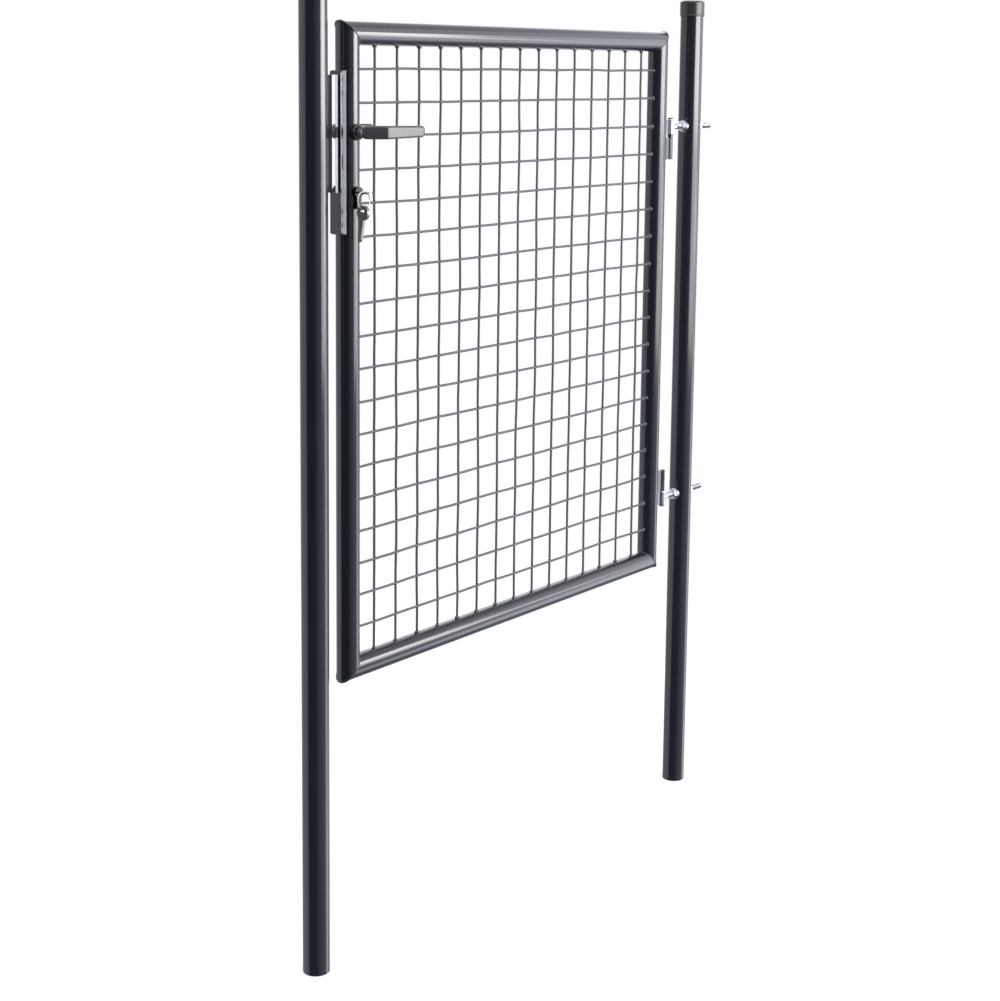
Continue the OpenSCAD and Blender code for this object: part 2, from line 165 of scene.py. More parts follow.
def linear(code):
    """sRGB hex to linear RGBA."""
    parts = [int(code[i : i + 2], 16) / 255 for i in (1, 3, 5)]
    return tuple(c / 12.92 if c <= 0.04045 else ((c + 0.055) / 1.055) ** 2.4 for c in parts) + (1.0,)


def add(tree, kind, settings=None, links=None):
    """Adds a node, sets its properties or inputs, and links its inputs."""
    made = tree.nodes.new(kind)
    for key, value in (settings or {}).items():
        if isinstance(key, str) and hasattr(made, key):
            setattr(made, key, value)
        else:
            made.inputs[key].default_value = value
    for key, source in (links or {}).items():
        tree.links.new(source, made.inputs[key])
    return made


def new_material(name):
    """An empty material, its tree and the Object coordinates in it."""
    made = bpy.data.materials.new(name)
    made.use_nodes = True
    tree = made.node_tree
    tree.nodes.clear()
    return made, tree, add(tree, "ShaderNodeTexCoord").outputs["Object"]


def clouds(tree, place, size, detail):
    """Noise in clouds of a given size."""
    made = add(tree, "ShaderNodeTexNoise", {"Scale": 1 / size, "Detail": detail}, {"Vector": place})
    return made.outputs["Fac"]


def ramp(tree, factor, dark, light, start=0.0, end=1.0):
    """Turns a factor to a colour between two."""
    made = add(tree, "ShaderNodeValToRGB", links={"Fac": factor})
    for stop, position, shade in zip(made.color_ramp.elements, (start, end), (dark, light)):
        stop.position = position
        stop.color = shade
    return made.outputs["Color"]


def grain(tree, place, size, strength, depth, detail=1.0):
    """A normal that follows fine noise."""
    height = clouds(tree, place, size, detail)
    made = add(tree, "ShaderNodeBump", {"Strength": strength, "Distance": depth}, {"Height": height})
    return made.outputs["Normal"]


def principled(tree, settings, links):
    """Closes a material with one Principled shader."""
    shader = add(tree, "ShaderNodeBsdfPrincipled", settings, links)
    add(tree, "ShaderNodeOutputMaterial", links={"Surface": shader.outputs["BSDF"]})


def sprayed_coat(name, coat, gloss, ripple, ior):
    """A baked coat on steel, slightly lighter in soft clouds, with ripples of a given strength."""
    made, tree, place = new_material(name)
    deep = linear(coat)
    pale = tuple(c * 1.12 for c in deep[:3]) + (1.0,)
    colour = ramp(tree, clouds(tree, place, 90 * MM, 2.0), deep, pale, 0.35, 0.7)
    normal = grain(tree, place, 2 * bpy.context.scene.gate_paint.peel, ripple, 0.2 * MM)
    principled(tree, {"Roughness": gloss, "IOR": ior}, {"Base Color": colour, "Normal": normal})
    return made


def powder_coat():
    """Polyester powder coat, sprayed dry and baked on steel tube: a hard gloss film, near black,
    with faint orange peel."""
    paint = bpy.context.scene.gate_paint
    return sprayed_coat("anthracite_powder_coat", paint.coat, paint.gloss, 0.06, 1.6)


def wire_coat_with_painted_sheen():
    """The same coat on the wires, greyer as a painted sheen, softer in gloss, too tight for orange peel."""
    paint = bpy.context.scene.gate_paint
    # The wires' lighter colour is a painted sheen
    return sprayed_coat("anthracite_wire_coat", paint.wire_coat_with_painted_sheen, paint.wire_gloss, 0.004, 1.4)


def plated_metal(name, dull, bright, roughness, cloud, metallic=1.0):
    """A plated metal whose colour and gloss drift between two values in clouds of a given size."""
    made, tree, place = new_material(name)
    drift = clouds(tree, place, cloud, 3.0)
    colour = ramp(tree, drift, linear(dull), linear(bright))
    ends = {"To Min": roughness[0], "To Max": roughness[1]}
    rough = add(tree, "ShaderNodeMapRange", ends, {"Value": drift}).outputs["Result"]
    principled(tree, {"Metallic": metallic}, {"Base Color": colour, "Roughness": rough})
    return made


def bright_zinc():
    """Steel, barrel-plated with bright zinc: pale, faintly blue, with soft cloudy gloss."""
    return plated_metal("bright_zinc_plate", "#B9BCC0", "#DADDE2", (0.22, 0.38), 6 * MM)


def satin_zinc():
    """Steel strip, brushed and dull-zinc-plated: a pale, milky satin."""
    return plated_metal("satin_zinc_plate", "#ECEDF3", "#F6F7FC", (0.42, 0.55), 9 * MM, metallic=0.15)


def nickel_brass():
    """Brass keys, stamped, tumbled and nickel-plated: a mid grey, handled to a soft gloss."""
    return plated_metal("nickel_plated_brass", "#75736F", "#868480", (0.26, 0.4), 1.5 * MM)


def black_nickel():
    """Brass cylinder, turned and black-nickel-plated: dark, smooth and cold."""
    return plated_metal("black_nickel_plate", "#26282A", "#303234", (0.26, 0.36), 2 * MM)


def lever_lacquer():
    """Die-cast lever, stoved with a dark grey satin lacquer: smooth, with a faint grit."""
    made, tree, place = new_material("dark_grey_satin_lacquer")
    normal = grain(tree, place, 0.6 * MM, 0.08, 0.05 * MM)
    colour = ramp(tree, clouds(tree, place, 20 * MM, 2.0), linear("#262628"), linear("#303032"))
    principled(tree, {"Roughness": 0.28, "IOR": 1.5}, {"Base Color": colour, "Normal": normal})
    return made


def cap_plastic():
    """Polyethylene, injection-moulded: near-black, with a soft moulded sheen."""
    made, tree, place = new_material("black_polyethylene")
    normal = grain(tree, place, 1.2 * MM, 0.08, 0.05 * MM)
    look = {"Base Color": linear("#16171A"), "Roughness": 0.3, "IOR": 1.51}
    principled(tree, look, {"Normal": normal})
    return made


MAKERS = {
    "paint": powder_coat,
    "wire_paint": wire_coat_with_painted_sheen,
    "zinc": bright_zinc,
    "nickel": nickel_brass,
    "handle": lever_lacquer,
    "cap_plastic": cap_plastic,
}
_made = {}


def material_for(slot, maker=None):
    """The finish of a record's slot, or of another maker, made once."""
    maker = maker or MAKERS[slot]
    if maker not in _made:
        _made[maker] = maker()
    return _made[maker]


# ---------------------------------------------------------------- shapes, in millimetres

# A part is a pair: its points, and its faces as tuples of point numbers


def join(*parts):
    points, faces = [], []
    for part_points, part_faces in parts:
        faces += [tuple(i + len(points) for i in face) for face in part_faces]
        points += list(part_points)
    return points, faces


def moved(part, matrix):
    return [matrix @ Vector(p) for p in part[0]], part[1]


def shift(x=0.0, y=0.0, z=0.0):
    return Matrix.Translation((x, y, z))


def toward(direction):
    """Turns +Z to a direction."""
    return Vector(direction).to_track_quat("Z", "Y").to_matrix().to_4x4()


def bridge(rings, closed=False, caps=True):
    """Skins equal rings of points, one after another."""
    count = len(rings[0])
    points = [p for ring in rings for p in ring]
    faces = []
    for row in range(len(rings) if closed else len(rings) - 1):
        below, above = row * count, (row + 1) % len(rings) * count
        for i in range(count):
            j = (i + 1) % count
            faces.append((below + i, below + j, above + j, above + i))
    if caps and not closed:
        faces.append(tuple(range(count)))
        faces.append(tuple((len(rings) - 1) * count + i for i in range(count)))
    return points, faces


def full_turn(steps):
    """The angles of a full turn in equal steps."""
    return [2 * math.pi * i / steps for i in range(steps)]


def circle(radius, height, sides):
    """Points round Z. The radius is a number, or a function of the angle."""
    points = []
    for a in full_turn(sides):
        r = radius(a) if callable(radius) else radius
        points.append((r * math.cos(a), r * math.sin(a), height))
    return points


def hexagon(flat_radius):
    """How far a hexagon reaches at an angle, for circle."""
    return lambda a: flat_radius / math.cos(math.radians(math.degrees(a) % 60 - 30))


def lathe(profile, sides=72, hollow=False):
    """Turns a profile of (radius, height) about Z. A hollow one closes on itself."""
    return bridge([circle(r, h, sides) for r, h in profile], closed=hollow)


def rounded(points, radius, steps=4, closed=True):
    """Rounds the corners of a polygon or profile."""
    result = []
    for i, corner in enumerate(points):
        corner = Vector(corner)
        if not closed and i in (0, len(points) - 1):
            result.append(tuple(corner))
            continue
        before, after = Vector(points[i - 1]) - corner, Vector(points[(i + 1) % len(points)]) - corner
        turn = before.angle(after)
        reach = radius / math.tan(turn / 2)
        reach = min(reach, before.length * 0.49, after.length * 0.49)
        start, end = corner + before.normalized() * reach, corner + after.normalized() * reach
        for step in range(steps + 1):
            t = step / steps
            result.append(tuple(start * (1 - t) ** 2 + corner * 2 * t * (1 - t) + end * t**2))
    return result


def arc(centre, radius, start, end, steps=16):
    angles = [math.radians(start + (end - start) * i / steps) for i in range(steps + 1)]
    return [(centre[0] + radius * math.cos(a), centre[1] + radius * math.sin(a)) for a in angles]


def extruded(outline, low, high, holes=()):
    """Raises a flat outline, with holes, from low to high."""
    loops = [outline, *holes]
    flat = [Vector((*p, 0)) for loop in loops for p in loop]
    count = len(flat)
    points = [(p.x, p.y, low) for p in flat] + [(p.x, p.y, high) for p in flat]
    caps = tessellate_polygon([[Vector((*p, 0)) for p in loop] for loop in loops])
    faces = [tuple(face) for face in caps] + [tuple(i + count for i in face) for face in caps]
    start = 0
    for loop in loops:
        for i in range(len(loop)):
            a, b = start + i, start + (i + 1) % len(loop)
            faces.append((a, b, b + count, a + count))
        start += len(loop)
    return points, faces


def swept(path, radii, sides, closed):
    """A round wire along a path, with a radius for each of its points."""
    rings, side = [], None
    for i, point in enumerate(path):
        if closed:
            along = (path[(i + 1) % len(path)] - path[i - 1]).normalized()
        else:
            along = (path[min(i + 1, len(path) - 1)] - path[max(i - 1, 0)]).normalized()
        if side is None:
            side = along.orthogonal().normalized()
        side = (side - along * side.dot(along)).normalized()
        up = along.cross(side)
        rings.append([point + radii[i] * (math.cos(a) * side + math.sin(a) * up) for a in full_turn(sides)])
    return bridge(rings, closed=closed)


def bead(path, width, seed, closed=False):
    """A weld bead: a wire with the overlapping ripples of its run."""
    ripple, step_length = 2.2, 0.55
    chance = np.random.default_rng(seed)
    path = [Vector(p) for p in path]
    ahead = path[1:] + path[:1] if closed else path[1:]
    fine, radii, run = [], [], 0.0
    for a, b in zip(path, ahead):
        steps = max(1, round((b - a).length / step_length))
        for step in range(steps):
            fine.append(a.lerp(b, step / steps))
            run += (b - a).length / steps
            wave = abs(math.sin(math.pi * run / ripple))
            radii.append(width / 2 * (0.86 + 0.16 * wave + 0.05 * chance.uniform(-1, 1)))
    if not closed:
        radii[0] = radii[-1] = width / 5
    return swept(fine, radii, 10, closed)


def copied(*nodes):
    """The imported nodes' own shapes, merged at their seams."""
    parts = []
    for node in nodes:
        mesh = bmesh.new()
        mesh.from_mesh(frame["nodes"][node].data)
        bmesh.ops.remove_doubles(mesh, verts=mesh.verts, dist=1e-6)
        bmesh.ops.dissolve_limit(
            mesh, angle_limit=math.radians(0.5), verts=mesh.verts, edges=mesh.edges, delimit={"NORMAL"}
        )
        mesh.verts.ensure_lookup_table()
        points = [v.co / MM for v in mesh.verts]
        parts.append((points, [tuple(v.index for v in face.verts) for face in mesh.faces]))
        mesh.free()
    return join(*parts)


# ---------------------------------------------------------------- pieces


def settled(obj, name, slot, body, nodes, maker=None):
    """Applies the modifiers and hands the piece to its CAD body."""
    graph = bpy.context.evaluated_depsgraph_get()
    mesh = bpy.data.meshes.new_from_object(obj.evaluated_get(graph), depsgraph=graph)
    obj.modifiers.clear()
    old, obj.data = obj.data, mesh
    bpy.data.meshes.remove(old)
    mesh.name = name
    if len(mesh.polygons) == 0:
        raise RuntimeError(f"{name} came out empty")
    mesh.materials.clear()
    mesh.materials.append(material_for(slot, maker))
    mesh.polygons.foreach_set("material_index", [0] * len(mesh.polygons))
    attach(obj, body)
    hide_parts(*nodes)
    return obj


def placed(name, data):
    """Puts an object with a mesh, a lamp or a camera into the scene."""
    obj = bpy.data.objects.new(name, data)
    bpy.context.scene.collection.objects.link(obj)
    return obj


def piece(name, part, slot, body, nodes=(), merge=0.0, bevel=0.0, sharp=35.0, maker=None):
    """Makes a finished piece from a part: points merged, normals outward, edges eased by bevel
    (in mm), and shaded smooth up to the sharp angle."""
    mesh = bpy.data.meshes.new(name)
    points = np.array([tuple(p) for p in part[0]]) * MM
    mesh.from_pydata(points.tolist(), [], part[1])
    mesh.update()
    obj = placed(name, mesh)
    work = bmesh.new()
    work.from_mesh(mesh)
    if merge:
        bmesh.ops.remove_doubles(work, verts=work.verts, dist=merge * MM)
    bmesh.ops.recalc_face_normals(work, faces=work.faces)
    if bevel:
        edges = [e for e in work.edges if e.is_manifold and e.calc_face_angle() > math.radians(sharp)]
        bmesh.ops.bevel(
            work, geom=edges, offset=bevel * MM, segments=2, profile=0.5, affect="EDGES", clamp_overlap=True
        )
    work.to_mesh(mesh)
    work.free()
    mesh.shade_smooth()
    mesh.set_sharp_from_angle(angle=math.radians(sharp))
    obj.modifiers.new("flat faces stay flat", "WEIGHTED_NORMAL").keep_sharp = True
    return settled(obj, name, slot, body, nodes, maker)


def box_mm(node):
    lo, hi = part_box(node)
    return lo / MM, hi / MM


# ---------------------------------------------------------------- posts


def post_part(side):
    lo, hi = box_mm(f"{side}_post")
    outer = POST_D / MM / 2
    wall = bpy.context.scene.gate_paint.wall / MM
    profile = [(outer - wall, 0), (outer, 0), (outer, hi.z - lo.z), (outer - wall, hi.z - lo.z)]
    return moved(lathe(rounded(profile, 0.35, 2), 96, hollow=True), shift(x=POST_X[side] / MM, z=lo.z))


def cap_part(side):
    """Moulded cap: a skirt with a lip, a rounded shoulder and a shallow dome."""
    lo, hi = box_mm(f"{side}_post_cap")
    outer, bore = (hi.x - lo.x) / 2, POST_D / MM / 2
    height = hi.z - lo.z
    skirt = [(bore, 0), (outer, 0), (outer, 2.2), (outer - 0.5, 2.9), (outer - 0.5, height - 4.6)]
    crown = [(outer - 0.5, height - 3.4), (outer - 2.6, height - 1.3)]
    dome = [(outer * f, height - 0.9 * f * f) for f in (0.8, 0.6, 0.4, 0.2)]
    profile = rounded(skirt + crown, 0.9, 4, closed=False)
    profile += dome + [(0.05, height), (0.05, height - 3), (bore, height - 5.5)]
    return moved(lathe(profile, 96, hollow=True), shift(x=POST_X[side] / MM, z=lo.z))


class GATE_OT_posts(bpy.types.Operator):
    """Makes both posts and their moulded caps"""

    bl_idname = "gate.posts"
    bl_label = "Posts"

    def execute(self, context):
        for side in ("hinge", "latch"):
            piece(f"{side}_post_tube", post_part(side), "paint", "posts", [f"{side}_post"], sharp=30)
            piece(f"{side}_post_cap_moulding", cap_part(side), "cap_plastic", "posts", [f"{side}_post_cap"])
        return {"FINISHED"}


# ---------------------------------------------------------------- leaf


def frame_ring(centre, along, across, radius, slope, sides=96):
    """Ring of a frame tube where it meets the mitre plane."""
    ring = []
    for a in full_turn(sides):
        out = radius * math.cos(a)
        ring.append(centre + across * out + Vector((0, 1, 0)) * radius * math.sin(a) + along * slope * out)
    return ring


def tube_parts():
    """Four frame tubes, mitred together, with the latch stile opened for the faceplate."""
    r = TUBE_D / MM / 2
    plate_lo, plate_hi = box_mm("lock_faceplate")
    lo = Vector((STILE_X["latch"] / MM, 0, LEAF_LO / MM + r))
    hi = Vector((STILE_X["hinge"] / MM, 0, LEAF_HI / MM - r))
    corners = [lo, Vector((hi.x, 0, lo.z)), hi, Vector((lo.x, 0, hi.z))]
    parts = []
    guard = 1.5
    for start, end in zip(corners, corners[1:]):
        along = (end - start).normalized()
        outward = Vector((along.z, 0, -along.x))
        first = frame_ring(start, along, outward, r, -1)
        second = frame_ring(end, along, outward, r, 1)
        rings = [first, [p + along * guard for p in first], [p - along * guard for p in second], second]
        parts.append(bridge(rings, caps=False))
    # The latch stile, from the top down, is open over the faceplate's height
    half_w = (plate_hi.y - plate_lo.y) / 2
    seat = plate_hi.x
    edge = math.degrees(math.asin(half_w / r))
    crown = [(-x, y) for x, y in arc((0, 0), r, -edge, edge, 14)]
    rest = [(-x, y) for x, y in arc((0, 0), r, edge, 360 - edge, 82)][1:-1]
    whole = crown + rest

    def level(outline, z, slope=0.0):
        return [Vector((lo.x + x, y, z + slope * x)) for x, y in outline]

    top, bottom = LEAF_HI / MM - r, LEAF_LO / MM + r
    upper = [level(whole, top, -1), level(whole, top - guard, -1), level(whole, plate_hi.z)]
    lower = [level(whole, plate_lo.z), level(whole, bottom + guard, 1), level(whole, bottom, 1)]
    opened = [crown[-1]] + rest + [crown[0], (seat - lo.x, -half_w), (seat - lo.x, half_w)]
    parts += [
        bridge(upper, caps=False),
        bridge(lower, caps=False),
        bridge([level(opened, plate_hi.z), level(opened, plate_lo.z)], caps=False),
    ]
    step = crown + [(seat - lo.x, half_w), (seat - lo.x, -half_w)]
    for z in (plate_lo.z, plate_hi.z):
        parts.append((level(step, z), [tuple(range(len(step)))]))
    return parts, corners


def corner_bead(corner, inward, width, seed):
    """Ground bead round a mitre, sunk a little into the tubes."""
    r = TUBE_D / MM / 2
    path = []
    for a in full_turn(64):
        out = r * math.cos(a)
        path.append(corner + Vector((inward.x * out, r * math.sin(a), inward.z * out)))
    path = [corner + (p - corner) * (1 - 0.26 * width / (p - corner).length) for p in path]
    return bead(path, width, seed, closed=True)


class GATE_OT_leaf_frame(bpy.types.Operator):
    """Makes the leaf's four mitred tubes and the weld beads at its corners"""

    bl_idname = "gate.leaf_frame"
    bl_label = "Leaf frame"

    def execute(self, context):
        width = context.scene.gate_paint.bead / MM
        parts, corners = tube_parts()
        tubes = ["latch_stile", "hinge_stile", "top_rail", "bottom_rail"]
        piece("leaf_frame_tubes", join(*parts), "paint", "leaf", tubes, merge=0.01, sharp=9)
        middle = (corners[0] + corners[2]) / 2
        beads = []
        for number, corner in enumerate(corners):
            inward_x, inward_z = math.copysign(1, middle.x - corner.x), math.copysign(1, middle.z - corner.z)
            beads.append(corner_bead(corner, Vector((inward_x, 0, inward_z)), width, number))
        piece("leaf_frame_welds", join(*beads), "paint", "leaf", sharp=60)
        return {"FINISHED"}


# ---------------------------------------------------------------- wire mesh


def group_with(name, sockets):
    """A geometry node tree with named inputs and a Geometry output."""
    tree = bpy.data.node_groups.new(name, "GeometryNodeTree")
    for label, kind in sockets.items():
        tree.interface.new_socket(name=label, in_out="INPUT", socket_type=f"NodeSocket{kind}")
    tree.interface.new_socket(name="Geometry", in_out="OUTPUT", socket_type="NodeSocketGeometry")
    return tree, add(tree, "NodeGroupInput").outputs


def row_of_points(tree, count, step, start=None):
    links = {"Count": count, "Offset": step}
    if start:
        links["Start Location"] = start
    return add(tree, "GeometryNodeMeshLine", {"mode": "OFFSET"}, links).outputs["Mesh"]


def set_on(tree, points, instance, **links):
    """Sets a copy of an instance on every point, as real geometry."""
    links.update(Points=points, Instance=instance)
    made = add(tree, "GeometryNodeInstanceOnPoints", links=links)
    real = add(tree, "GeometryNodeRealizeInstances", links={"Geometry": made.outputs["Instances"]})
    return real.outputs["Geometry"]


def strayed(tree, geometry, wave):
    """Moves points by a slow noise, so that what crosses still touches."""
    place = add(tree, "GeometryNodeInputPosition").outputs["Position"]
    noise = add(tree, "ShaderNodeTexNoise", {"Scale": 7.0, "Detail": 2.0}, {"Vector": place})
    minus_half = {"operation": "SUBTRACT", 1: (0.5, 0.5, 0.5)}
    centred = add(tree, "ShaderNodeVectorMath", minus_half, {0: noise.outputs["Color"]})
    links = {0: centred.outputs["Vector"], "Scale": wave}
    offset = add(tree, "ShaderNodeVectorMath", {"operation": "SCALE"}, links).outputs["Vector"]
    moved_points = add(tree, "GeometryNodeSetPosition", links={"Geometry": geometry, "Offset": offset})
    return moved_points.outputs["Geometry"]


def close_tree(tree, geometry, finish):
    """Ends a tree smooth, real and with its finish."""
    smooth = add(tree, "GeometryNodeSetShadeSmooth", links={"Geometry": geometry})
    real = add(tree, "GeometryNodeRealizeInstances", links={"Geometry": smooth.outputs["Geometry"]})
    links = {"Geometry": real.outputs["Geometry"], "Material": finish}
    dressed = add(tree, "GeometryNodeSetMaterial", links=links)
    add(tree, "NodeGroupOutput", links={"Geometry": dressed.outputs["Geometry"]})
    return tree


def wires_tree():
    """Repeats a wire along a row, lets it stray and gives it its thickness."""
    vectors = dict.fromkeys(("Start", "Along", "Step"), "Vector")
    numbers = {"Count": "Int", "Radius": "Float", "Sides": "Int", "Wave": "Float", "Finish": "Material"}
    tree, given = group_with("wavy_wires", {**vectors, **numbers})
    line = add(tree, "GeometryNodeCurvePrimitiveLine", links={"End": given["Along"]})
    fine = add(tree, "GeometryNodeResampleCurve", {"Count": 80}, {"Curve": line.outputs["Curve"]})
    row = row_of_points(tree, given["Count"], given["Step"], given["Start"])
    bent = strayed(tree, set_on(tree, row, fine.outputs["Curve"]), given["Wave"])
    links = {"Resolution": given["Sides"], "Radius": given["Radius"]}
    outline = add(tree, "GeometryNodeCurvePrimitiveCircle", links=links).outputs["Curve"]
    links = {"Curve": bent, "Profile Curve": outline}
    solid = add(tree, "GeometryNodeCurveToMesh", {"Fill Caps": True}, links)
    return close_tree(tree, solid.outputs["Mesh"], given["Finish"])


def nuggets_tree():
    """Sets a squashed nugget of weld, never twice the same size, on every point of a grid."""
    rows = {"Start": "Vector", "Step A": "Vector", "Count A": "Int", "Step B": "Vector", "Count B": "Int"}
    looks = {"Size": "Vector", "Seed": "Int", "Wave": "Float", "Finish": "Material"}
    tree, given = group_with("weld_nuggets", {**rows, **looks})
    row = row_of_points(tree, given["Count A"], given["Step A"])
    column = row_of_points(tree, given["Count B"], given["Step B"], given["Start"])
    grid = set_on(tree, column, row)
    ball = add(tree, "GeometryNodeMeshUVSphere", {"Segments": 12, "Rings": 7, "Radius": 1.0})
    spread = {"data_type": "FLOAT_VECTOR", 0: (0.8, 0.8, 0.8), 1: (1.2, 1.2, 1.2)}
    chance = add(tree, "FunctionNodeRandomValue", spread, {"Seed": given["Seed"]})
    links = {0: given["Size"], 1: chance.outputs["Value"]}
    size = add(tree, "ShaderNodeVectorMath", {"operation": "MULTIPLY"}, links).outputs["Vector"]
    drops = set_on(tree, grid, ball.outputs["Mesh"], Scale=size)
    return close_tree(tree, strayed(tree, drops, given["Wave"]), given["Finish"])


def grown(name, tree, values, slot, body, nodes=()):
    """Makes a piece with a geometry node tree."""
    obj = placed(name, bpy.data.meshes.new(name))
    modifier = obj.modifiers.new(tree.name, "NODES")
    modifier.node_group = tree
    values = dict(values, Finish=material_for(slot))
    for item in tree.interface.items_tree:
        if item.in_out == "INPUT":
            modifier[item.identifier] = values[item.name]
    return settled(obj, name, slot, body, nodes)


class GATE_OT_wire_mesh(bpy.types.Operator):
    """Makes the welded wire mesh: wavy wires and a nugget of weld wherever they cross or end"""

    bl_idname = "gate.wire_mesh"
    bl_label = "Wire mesh"

    def execute(self, context):
        mesh = context.scene.gate_mesh
        r = TUBE_D / 2
        left, right = STILE_X["latch"] + r, STILE_X["hinge"] - r
        low, high = LEAF_LO + 2 * r, LEAF_HI - 2 * r
        first_x, first_z = left + mesh.side, high - mesh.top
        uprights = int((right - first_x) / mesh.pitch) + 1
        levels = int((first_z - low) / mesh.pitch) + 1
        front = -0.75 * mesh.wire
        bury = 4 * MM
        wires, nuggets = wires_tree(), nuggets_tree()
        shared = {"Radius": mesh.wire / 2, "Sides": mesh.sides, "Wave": mesh.wave}
        across, down = (mesh.pitch, 0, 0), (0, 0, -mesh.pitch)
        upright, level = (0, 0, high - low + 2 * bury), (right - left + 2 * bury, 0, 0)
        rows = [
            ("mesh_upright_wires", ["mesh_panel"], (first_x, 0, low - bury), upright, across, uprights),
            ("mesh_level_wires", [], (left - bury, front, first_z), level, down, levels),
        ]
        for name, nodes, start, along, step, count in rows:
            values = {**shared, "Start": start, "Along": along, "Step": step, "Count": count}
            grown(name, wires, values, "wire_paint", "leaf", nodes)
        row, column = {"Step A": across, "Count A": uprights}, {"Step A": down, "Count A": levels}
        welds = [
            ("mesh_crossing_welds", row, (first_x, front / 2, first_z), down, levels, (0.66, 0.6, 0.66)),
            ("mesh_side_welds", column, (left, front, first_z), (right - left, 0, 0), 2, (0.8, 0.95, 1.0)),
            ("mesh_end_welds", row, (first_x, 0, high), (0, 0, low - high), 2, (1.0, 0.95, 0.8)),
        ]
        for seed, (name, run, start, step, count, wires_wide) in enumerate(welds, 1):
            size = tuple(share * mesh.wire for share in wires_wide)
            values = {**run, "Start": start, "Step B": step, "Count B": count, "Size": size, "Seed": seed}
            grown(name, nuggets, {**values, "Wave": mesh.wave}, "wire_paint", "leaf")
        return {"FINISHED"}


# ---------------------------------------------------------------- hinges


def threaded(radius, depth, pitch, length, lead=2.0):
    """A threaded rod up Z, tapered at its far end."""
    rows = round(length / pitch * 8)
    rings = []
    for row in range(rows + 1):
        h = length * row / rows
        taper = min(1.0, (length - h) / lead)

        def reach(a):
            cut = 0.5 + 0.5 * math.cos(2 * math.pi * h / pitch - a)
            return radius - depth * max(cut**0.8, 1 - taper)

        rings.append(circle(reach, h, 40))
    return bridge(rings)


def hex_nut(flats, thickness, bore, sides=96):
    """A nut up Z: its corners are turned off at both faces and its bore is countersunk."""
    steps = [0, 0.35, 0.75, 1.3]
    sink = 1.1
    flat = hexagon(flats / 2)
    rings = []
    for h in steps + [thickness - step for step in reversed(steps)]:
        turned = flats / 2 * 0.955 + math.tan(math.radians(60)) * min(h, thickness - h)
        rings.append(circle(lambda a: min(flat(a), turned), h, sides))
    for r, h in ((bore + sink, thickness), (bore, thickness - sink), (bore, sink), (bore + sink, 0)):
        rings.append(circle(r, h, sides))
    return bridge(rings, closed=True)


def eye_bolt_part(end):
    """Eye, welded shank and thread of one hinge."""
    hardware = bpy.context.scene.gate_hardware
    lo, hi = box_mm(f"{end}_eye_bolt")
    z, pin = (lo.z + hi.z) / 2, PIN_X / MM
    outer, half = pin - lo.x, (hi.z - lo.z) / 2
    bolt = hardware.bolt / MM / 2
    bore = size_of(f"{end}_hinge_pin").x / MM / 2 + 0.08
    ring = rounded([(bore, -half), (outer, -half), (outer, half), (bore, half)], 1.4, 4)
    eye = moved(lathe(ring, 96, hollow=True), shift(pin, 0, z))
    neck = outer + 7
    across = toward((1, 0, 0))
    shank = moved(lathe([(bolt, 0), (bolt, neck - outer * 0.7)], 48), shift(pin + outer * 0.7, 0, z) @ across)
    depth, pitch = hardware.thread_depth / MM, hardware.thread_pitch / MM
    rod = moved(threaded(bolt, depth, pitch, hi.x - pin - neck), shift(pin + neck, 0, z) @ across)
    run = []
    for a in full_turn(48):
        y = bolt * math.cos(a)
        run.append((pin + math.sqrt(outer**2 - y**2) + 0.2, y, z + bolt * math.sin(a)))
    weld = bead(run, 2.4, 7, closed=True)
    return join(eye, shank, rod, weld)


def nut_part(node):
    lo, hi = box_mm(node)
    flats = bpy.context.scene.gate_hardware.flats / MM
    bore = bpy.context.scene.gate_hardware.bolt / MM / 2 - 0.4
    turn = Matrix.Rotation(math.radians(23 if "outer" in node else 8), 4, "Z")
    part = moved(hex_nut(flats, hi.x - lo.x, bore), toward((1, 0, 0)) @ turn)
    return moved(part, shift(lo.x, 0, (lo.z + hi.z) / 2))


def hinge_weld_parts(end):
    """Beads down both sides of a hinge plate, at the stile and at the pin."""
    lo, hi = box_mm(f"{end}_hinge_plate")
    half = (hi.y - lo.y) / 2
    pin, stile = PIN_X / MM, STILE_X["hinge"] / MM
    pin_r, tube_r = size_of(f"{end}_hinge_pin").x / MM / 2, TUBE_D / MM / 2
    beads = []
    for side in (-1, 1):
        for x in (stile + math.sqrt(tube_r**2 - half**2), pin - math.sqrt(pin_r**2 - half**2)):
            path = [(x, side * (half + 0.3), lo.z + 1.5), (x, side * (half + 0.3), hi.z - 1.5)]
            beads.append(bead(path, 3.4, int(abs(x)) + side))
    return beads


def pin_part(end):
    lo, hi = box_mm(f"{end}_hinge_pin")
    r, length = (hi.x - lo.x) / 2, hi.z - lo.z
    body = lathe([(0.6, 0), (r - 1.4, 0), (r, 1.4), (r, length - 1.4), (r - 1.4, length), (0.6, length)], 64)
    return moved(body, shift((lo.x + hi.x) / 2, 0, lo.z))


